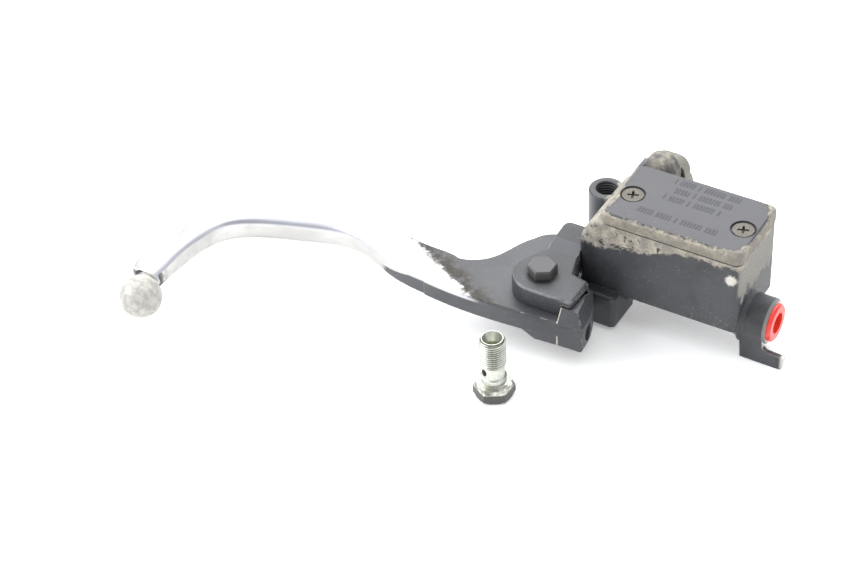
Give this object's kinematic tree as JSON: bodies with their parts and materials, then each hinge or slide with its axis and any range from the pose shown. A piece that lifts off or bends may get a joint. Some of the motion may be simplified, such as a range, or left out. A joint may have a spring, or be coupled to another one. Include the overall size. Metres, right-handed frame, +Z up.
{
  "type": "brake master cylinder",
  "caption": "Motorcycle front brake master cylinder with a square fluid box, bar clamp and ball-ended lever, and a loose hollow hose bolt.",
  "frame": {"origin": "centre of the handlebar clamp's bore, midway along the clamp", "axes": "+X along the handlebar towards the hose outlet, +Y towards the rider, +Z up"},
  "size_m": [0.2415, 0.1582, 0.0535],
  "materials": {
    "casting_paint": "satin",
    "cap_paint": "satin",
    "screw_zinc": "satin",
    "white_plastic": "matte",
    "black_rubber": "matte",
    "clamp_alloy": "matte",
    "black_steel": "satin",
    "bright_steel": "satin",
    "bronze": "satin",
    "lever_alloy": "satin",
    "piston_alloy": "satin",
    "red_plastic": "gloss"
  },
  "bodies": {
    "housing": {"body_casting": "casting_paint", "reservoir_cap": "cap_paint", "cap_screws": "screw_zinc", "diaphragm_plate": "white_plastic", "diaphragm": "black_rubber", "port_baffle": "white_plastic", "bar_clamp": "clamp_alloy", "clamp_bolts": "black_steel", "clamp_washers": "bright_steel", "pivot_bolt": "black_steel", "pivot_nut": "bright_steel", "stop_washer": "bright_steel", "circlip": "bright_steel", "return_spring": "bright_steel", "dust_boot": "black_rubber"},
    "brake_lever": {"lever": "lever_alloy", "pivot_bush": "bronze"},
    "piston_set": {"piston": "piston_alloy", "primary_cup": "black_rubber", "secondary_cup": "black_rubber"},
    "plug": {"port_plug": "red_plastic"},
    "hose_bolt": {"banjo_bolt": "bright_steel"}
  },
  "joints": [
    {"name": "lever_pull", "type": "hinge", "parent": "housing", "child": "brake_lever", "pos_m": [-0.0189, -0.0637, -0.0093], "axis": [0, 0, -1], "range_deg": [0, 20]},
    {"name": "piston_stroke", "type": "slide", "parent": "housing", "child": "piston_set", "axis": [1, 0, 0], "range_m": [0, 0.0099], "deforming": ["return_spring", "dust_boot"]},
    {"name": "plug_pull", "type": "slide", "parent": "housing", "child": "plug", "axis": [1, 0, 0], "range_m": [0, 0.015]},
    {"name": "hose_bolt_lift", "type": "slide", "parent": "housing", "child": "hose_bolt", "axis": [-0.0225, 0.0176, 0.9996], "range_m": [0, 0.03]}
  ],
  "couplings": [
    {"joint": "piston_stroke", "follows": "lever_pull", "m_per_rad": 0.0283}
  ]
}
